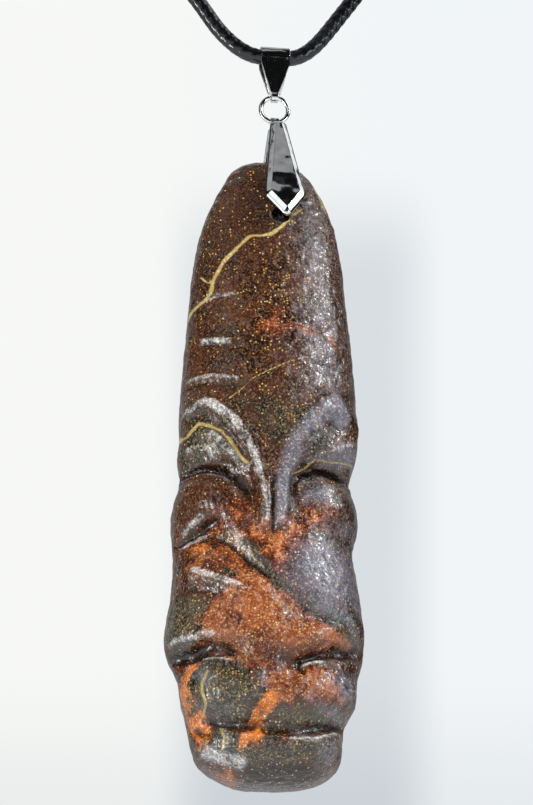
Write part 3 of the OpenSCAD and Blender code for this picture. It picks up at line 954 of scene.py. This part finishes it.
# veins: path, half width
stoneVeins = [
    ([(3.6, 8), (2.4, 9), (1.2, 10.7), (-0.3, 12.1), (-1.4, 12.3), (-2.8, 12.4), (-4, 13.6), (-5.1, 14.8),
      (-6, 15.8), (-6.7, 17.2), (-7.2, 18.2), (-7.4, 19.7), (-8.2, 20.7), (-9.4, 21.2), (-10, 22)], 0.2),
    ([(-7, 18.4), (-7.8, 18.2), (-8.4, 17.2)], 0.09),
    ([(5.6, 3.3), (6.3, 5.3), (7, 7.4)], 0.12),
    ([(5.6, 28.3), (3.6, 28.5), (1.6, 29.2), (-1.6, 30.9), (-3, 31.7), (-4, 32.8), (-5.4, 34)], 0.07),
    ([(-10.9, 36.4), (-10.5, 37.5), (-10, 37.6), (-8.8, 36.5), (-7.6, 37.1), (-6.5, 37.9), (-5.4, 39.2),
      (-4.5, 40.7), (-3.4, 42)], 0.17),
    ([(-1.6, 42.1), (-0.3, 42.6), (1.6, 43.3), (3.2, 42.3), (4.6, 41.2), (7, 40.8), (9.8, 40.1)], 0.07),
    ([(-7.7, 66.7), (-8.3, 68), (-8.3, 69.1), (-7.8, 70.4), (-7.9, 71.4)], 0.12),
    ([(-6, 73), (-5.7, 74.2), (-5.8, 75.4)], 0.13),
    ([(-5.8, 51), (-3.6, 52.6), (-1.5, 54.8)], 0.07),
]


def insideOf(across, down, outline):
    # which places a closed outline holds
    held = np.zeros(across.shape, bool)
    for (x0, d0), (x1, d1) in zip(outline, outline[1:] + outline[:1]):
        if d0 != d1:
            crossing = x0 + (down - d0) * (x1 - x0) / (d1 - d0)
            held ^= ((d0 > down) != (d1 > down)) & (across < crossing)
    return held


def paintStone(stone):
    # zone strengths and the distance to the veins, kept on the points for the material
    co = meshArrays(stone)[0]
    across, deep, down = stonePlaces(co)
    front = np.clip(0.5 - deep / stoneFacts["frontFade"], 0, 1)
    for name in ("rust", "ember", "olive", "ash", "dark", "frost", "sparks"):
        share = np.zeros(len(co))
        for strength, soft, outline in stoneZones.get(name, []):
            away = nearPath(across, down, outline + outline[:1])
            away = np.where(insideOf(across, down, outline), away, -away)
            share = np.maximum(share, strength * np.clip(0.5 + away / (stoneFacts["blend"] * soft), 0, 1))
        for path, half, strength in stoneStrokes.get(name, []):
            share = np.maximum(share, strength * np.clip(1.5 - nearPath(across, down, path) / half, 0, 1))
        keepValues(stone, name, share * front)
    far = stoneFacts["farFromVein"]
    near = np.full(len(co), far)
    for path, half in stoneVeins:
        near = np.minimum(near, nearPath(across, down, path) / half)
    keepValues(stone, "veinNear", np.where(deep < stoneFacts["veinDepth"], near, far))
    keepValues(stone, "front", front)


# deep and pale tone of a ground, colour of its grit and how much of it shows
opalGrounds = {
    "plain": ((0.010, 0.003, 0.001), (0.055, 0.016, 0.006), (0.30, 0.145, 0.06), 0.5),
    "rust": ((0.085, 0.016, 0.004), (0.33, 0.085, 0.022), (0.80, 0.43, 0.20), 0.5),
    "olive": ((0.010, 0.007, 0.005), (0.058, 0.047, 0.034), (0.40, 0.31, 0.15), 0.55),
}
# the other colours: one, or one without grit and one with it
opalColours = {
    "rustEdge": [(0.085, 0.012, 0.003), (0.48, 0.15, 0.045)],
    "ember": [(0.55, 0.13, 0.014), (1.0, 0.52, 0.17)],
    "vein": [(0.40, 0.28, 0.08), (0.85, 0.74, 0.42)],
    # a painted sheen, near black for painted shade and the darker top, and a painted highlight
    "ash": (0.36, 0.38, 0.47),
    "dark": (0.008, 0.003, 0.0015),
    "frost": (0.80, 0.79, 0.76),
}
# millimetres of one swell of each noise, and of a sparkle's cell
opalSizes = {
    "broad": 6,
    "patch": 1.8,
    "grain": 0.32,
    "dust": 0.12,
    "sparkle": 0.34,
    "hammered": 1.1,
    "pitted": 0.45,
}
# colours of the sparkles, spread over their random kinds from 0 to 1
sparkleColours = [
    (0.0, (0.50, 0.16, 0.02)), (0.35, (0.85, 0.38, 0.05)), (0.65, (0.80, 0.56, 0.10)),
    (0.9, (0.75, 0.65, 0.32)), (1.0, (0.90, 0.86, 0.74)),
]


def opalMatrix():
    sheet = newMaterial("opalMatrix")
    broad = sheet.noise(sheet.place(opalSizes["broad"]), 4, 0.6)
    patch = sheet.noise(sheet.place(opalSizes["patch"], move=(3, 1, 7)), 5, 0.65)
    grain = sheet.noise(sheet.place(opalSizes["grain"]), 3, 0.8)
    dust = sheet.noise(sheet.place(opalSizes["dust"]), 2, 0.6)
    back = 1 - sheet.attribute("front")
    relief = sheet.attribute("relief")
    ragged = (patch - 0.5) * 2.0 + (grain - 0.5) * 0.8
    grits = (grain + 0.5 * (dust - 0.5)).rise(0.5, 0.66)
    clouds = (0.6 * patch + 0.4 * broad).rise(0.38, 0.62)
    rusty = sheet.attribute("rust") + 0.4 * back * broad
    rust = (rusty + ragged * rusty.rise(0, 0.6)).rise(0.1, 0.9)
    ember = (sheet.attribute("ember") + 0.7 * ragged).rise(0.25, 0.95)
    olive = (sheet.attribute("olive") + ragged * -1.0 + 0.35 * back * patch).rise(0.2, 0.8)
    # painted sheen: grey-blue reflections, broken up by the grits
    ash = (sheet.attribute("ash") + 0.9 * (patch - 0.5)).rise(0.1, 0.9) * (0.28 + 0.6 * grits)
    # painted highlights on raised ridges, and along the highlight strokes broken up by patch and grain
    ridge = relief.rise(0.08, 0.25) * sheet.attribute("front")
    flecks = 0.3 + 0.7 * (grain + 0.5 * (dust - 0.5)).rise(0.47, 0.62)
    highlightShare = sheet.attribute("frost") * (0.5 + 0.9 * patch.rise(0.36, 0.58) + 0.8 * (grain - 0.5))
    frost = (highlightShare.rise(0.2, 1.1) + 0.2 * ridge) * flecks
    # painted shade: the dark zones, and darker in every hollow of the carving
    dark = (sheet.attribute("dark") + ragged * 0.4).rise(0.2, 0.8).greater((0 - relief).rise(0.04, 0.25))

    def ground(name):
        deep, pale, grit, share = opalGrounds[name]
        return sheet.mix(share * grits, sheet.mix(clouds, deep, pale), grit)

    rustEdge = sheet.mix(0.65 * grits, *opalColours["rustEdge"])
    colour = sheet.mix(rust.rise(0, 0.5), ground("plain"), rustEdge)
    colour = sheet.mix(rust.rise(0.35, 1.15), colour, ground("rust"))
    colour = sheet.mix(0.9 * ember, colour, sheet.mix(0.9 * grits, *opalColours["ember"]))
    colour = sheet.mix(olive, colour, ground("olive"))
    # the painted sheen, the dark zones with painted shade, and the painted highlights, laid over the grounds
    for name, share in (("ash", ash), ("dark", dark), ("frost", frost)):
        colour = sheet.mix(0.85 * share, colour, opalColours[name])
    # sparkles: a speck in a few random cells, more of them in the olive
    cellPlace = sheet.place(opalSizes["sparkle"])
    cells = sheet.node("ShaderNodeTexVoronoi", {}, {"Vector": cellPlace, "Scale": 1.0})
    parts = sheet.node("ShaderNodeSeparateColor", {}, {"Color": cells.outputs["Color"]})
    lot, kind = Number(sheet, parts.outputs[0]), Number(sheet, parts.outputs[1])
    core = 1 - Number(sheet, cells.outputs["Distance"]).rise(0.18, 0.4)
    crowd = 0.08 + 0.15 * clouds + 0.3 * olive * patch.rise(0.4, 0.65) + 0.15 * rust
    crowd = crowd + 0.5 * sheet.attribute("sparks")
    tint = sheet.node("ShaderNodeValToRGB", {"stops": sparkleColours}, {"Fac": kind})
    colour = sheet.mix(0.65 * (lot < crowd) * core, colour, tint.outputs[0])
    wander = (grain - 0.5) * 2.6 + (patch - 0.5) * 2.4
    vein = 1 - (sheet.attribute("veinNear") + wander).rise(0.5, 1.5)
    colour = sheet.mix(0.9 * vein, colour, sheet.mix(grits, *opalColours["vein"]))
    hammered = sheet.noise(sheet.place(opalSizes["hammered"], move=(4, 2, 9)), 1, 0.5)
    pitted = sheet.noise(sheet.place(opalSizes["pitted"], move=(1, 8, 3)), 1, 0.5)
    uneven = sheet.bump(hammered, 1.0, 0.24)
    return sheet.surface({
        "Base Color": colour,
        "Roughness": 0.12 + 0.14 * grain,
        "Normal": sheet.bump(pitted + 0.2 * grits, 1.0, 0.07, uneven),
    })


stone = makeStone()
paintStone(stone)
finishPiece(stone, "drop", opalMatrix(), "stone")
print("stone carved,", len(stone.data.polygons), "faces")


# pale floor, pale studio air and soft lamps
def paleFloor():
    sheet = newMaterial("paleFloor")
    pebbles = sheet.noise(sheet.place(2.5), 3, 0.5)
    return sheet.surface({
        "Base Color": sheet.mix(pebbles, (0.8, 0.81, 0.82), (0.86, 0.86, 0.86)),
        "Roughness": 0.6,
        "Emission Color": (0.96, 0.98, 1.0, 1),
        "Emission Strength": 0.3,
        "Normal": sheet.bump(pebbles, 0.3, 0.4),
    })


# in metres, well under the stone
floorFacts = {"size": 6, "height": -0.42}


def makeFloor():
    selectNothing()
    bpy.ops.mesh.primitive_plane_add(size=floorFacts["size"], location=(0, 0, floorFacts["height"]))
    floor = bpy.context.object
    floor.name = "studioFloor"
    floor.data.materials.append(paleFloor())


airColours = {
    "studio": (0.92, 0.97, 1.0),
    "wallLeft": (0.93, 0.94, 0.92),
    "wallRight": (0.885, 0.915, 0.935),
    "shade": (0.57, 0.61, 0.65),
}
# bright patches of the studio: strength, direction, where the edge starts and ends
lightPatches = [
    # a window high on the right, and a narrow strip beside it
    (3.2, (0.76, -0.38, 0.53), 0.89, 0.97),
    (1.4, (0.63, 0.11, 0.77), 0.97, 0.99),
    # pale cloths on the left
    (2.6, (-0.93, -0.25, -0.2), 0.88, 0.96),
    (1.6, (-0.61, -0.71, 0.35), 0.95, 0.98),
    (0.4, (-0.52, -0.14, 0.84), 0.94, 0.98),
    # a pale ceiling towards the back
    (0.6, (0.1, 0.5, 0.86), 0.82, 0.97),
]


def makeAir():
    world = bpy.data.worlds.new("studioAir")
    bpy.context.scene.world = world
    sheet = ShaderSheet(world)
    coords = sheet.node("ShaderNodeTexCoord", {}, {}).outputs["Generated"]
    parts = sheet.node("ShaderNodeSeparateXYZ", {}, {"Vector": coords})
    x, y, z = (Number(sheet, parts.outputs[k]) for k in range(3))
    # a dark room with pale walls behind, and the bright patches
    room = 0.008 + 0.4 * y.rise(0.45, 0.9) + 0.12 * (z - 0.3 * x).rise(0.8, 0.97)
    for strength, (px, py, pz), low, high in lightPatches:
        room = room + strength * (px * x + py * y + pz * z).rise(low, high)
    # what the camera sees: nearly white, warmer on the left, with a faint painted shadow behind the stone and
    # painted shade towards the bottom
    side = 0.99 * x - 0.139 * y
    middle = side - 0.012
    shade = (1 - (middle * middle).rise(0.0006, 0.0026)) * (0.42 - z).rise(0, 0.04)
    wall = sheet.mix(side.rise(-0.07, 0.07), airColours["wallLeft"], airColours["wallRight"])
    backdrop = sheet.mix(0.62 * shade + 0.3 * (0.26 - z).rise(0, 0.06), wall, airColours["shade"])
    ray = sheet.node("ShaderNodeLightPath", {}, {})
    studio = sheet.node("ShaderNodeBackground", {}, {"Color": airColours["studio"], "Strength": room})
    seen = sheet.node("ShaderNodeBackground", {}, {"Color": backdrop, "Strength": 1.0})
    both = sheet.node(
        "ShaderNodeMixShader",
        {},
        {0: ray.outputs["Is Camera Ray"], 1: studio.outputs[0], 2: seen.outputs[0]},
    )
    sheet.node("ShaderNodeOutputWorld", {}, {"Surface": both.outputs[0]})


# the middle of the stone
lampAim = (0, 0, -0.19)
# place, size, watts, colour, whether it lights surfaces, whether it shows in reflections
lamps = [
    ((-0.16, 0.03, 0.18), 0.05, 0.5, (1.0, 0.98, 0.95), True, False),
    ((0.35, -0.18, 0.05), 0.06, 0.7, (0.9, 0.95, 1.0), True, True),
    ((-0.22, -0.36, 0.12), 0.2, 2.6, (1.0, 0.99, 0.97), True, False),
    # pale things low on both sides, which only the gloss shows
    ((-0.36, -0.1, -0.335), 0.07, 0.6, (1.0, 0.99, 0.97), False, True),
    ((-0.47, -0.14, -0.25), 0.1, 0.5, (1.0, 0.99, 0.97), False, True),
    ((0.345, -0.345, -0.225), 0.16, 0.4, (0.9, 0.9, 1.0), False, True),
    # a small grey card over the front leaf
    ((0.012, -0.05, -0.035), 0.034, 0.0014, (0.95, 0.97, 1.0), False, True),
]


def makeLamps():
    aim = Vector(lampAim)
    for place, size, watts, colour, lighting, mirrored in lamps:
        selectNothing()
        bpy.ops.object.light_add(type="AREA", location=place)
        lamp = bpy.context.object
        lamp.data.size = size
        lamp.data.energy = watts
        lamp.data.color = colour
        lamp.visible_camera = False
        lamp.visible_diffuse = lighting
        lamp.visible_glossy = mirrored
        lamp.rotation_mode = "QUATERNION"
        lamp.rotation_quaternion = (aim - Vector(place)).to_track_quat("-Z", "Y")


makeFloor()
makeAir()
makeLamps()
print("studio set")
